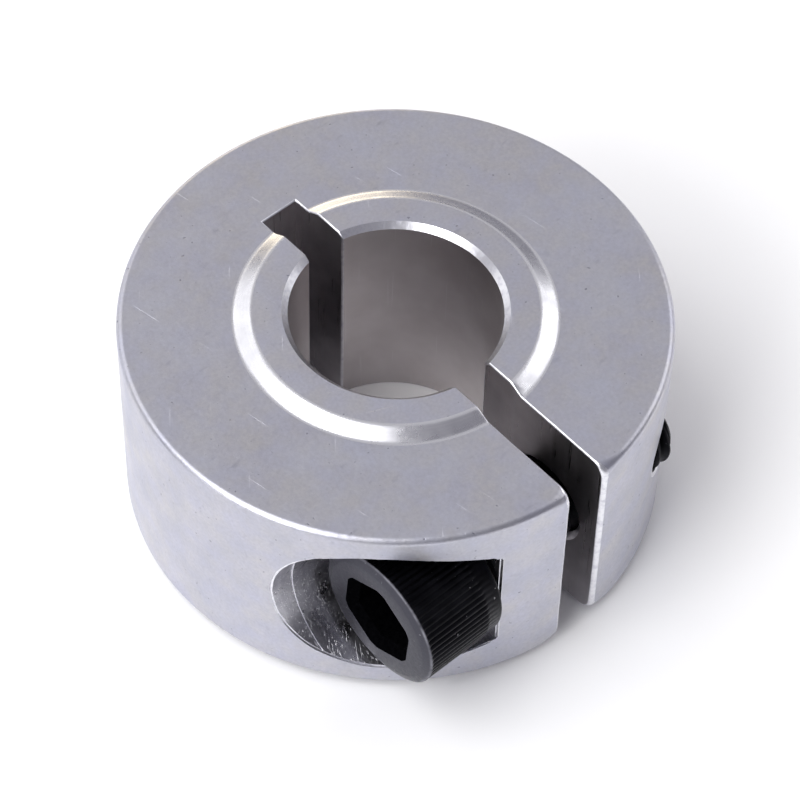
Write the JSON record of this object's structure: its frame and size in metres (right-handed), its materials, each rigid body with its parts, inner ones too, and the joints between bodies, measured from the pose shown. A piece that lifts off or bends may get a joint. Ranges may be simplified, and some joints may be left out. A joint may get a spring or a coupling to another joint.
{
  "type": "shaft collar",
  "caption": "One-piece split clamp collar for a round shaft, with a raised bearing boss on each face, a hinge-relief slot and a socket head clamping screw in a side pocket.",
  "frame": {"origin": "centre of the lower boss's flat face, on the bore axis", "axes": "+Z along the bore axis towards the upper boss; -Y through the open slit; +X from the screw's head to its tip"},
  "size_m": [0.032, 0.0319, 0.015],
  "materials": {
    "bare_aluminium": "turned, then tumbled to a fine matt grain; broken edges bright",
    "black_oxide_steel": "black oxide over cold-forged steel, lightly oiled, worn grey on the knurl and rims"
  },
  "bodies": {
    "collar": {"collar": "bare_aluminium"},
    "cap_screw": {"cap_screw": "black_oxide_steel"}
  },
  "joints": [
    {"name": "screw_turn", "type": "hinge", "parent": "collar", "child": "cap_screw", "pos_m": [0, -0.0115, 0.0075], "axis": [1, 0, 0], "continuous": true}
  ]
}
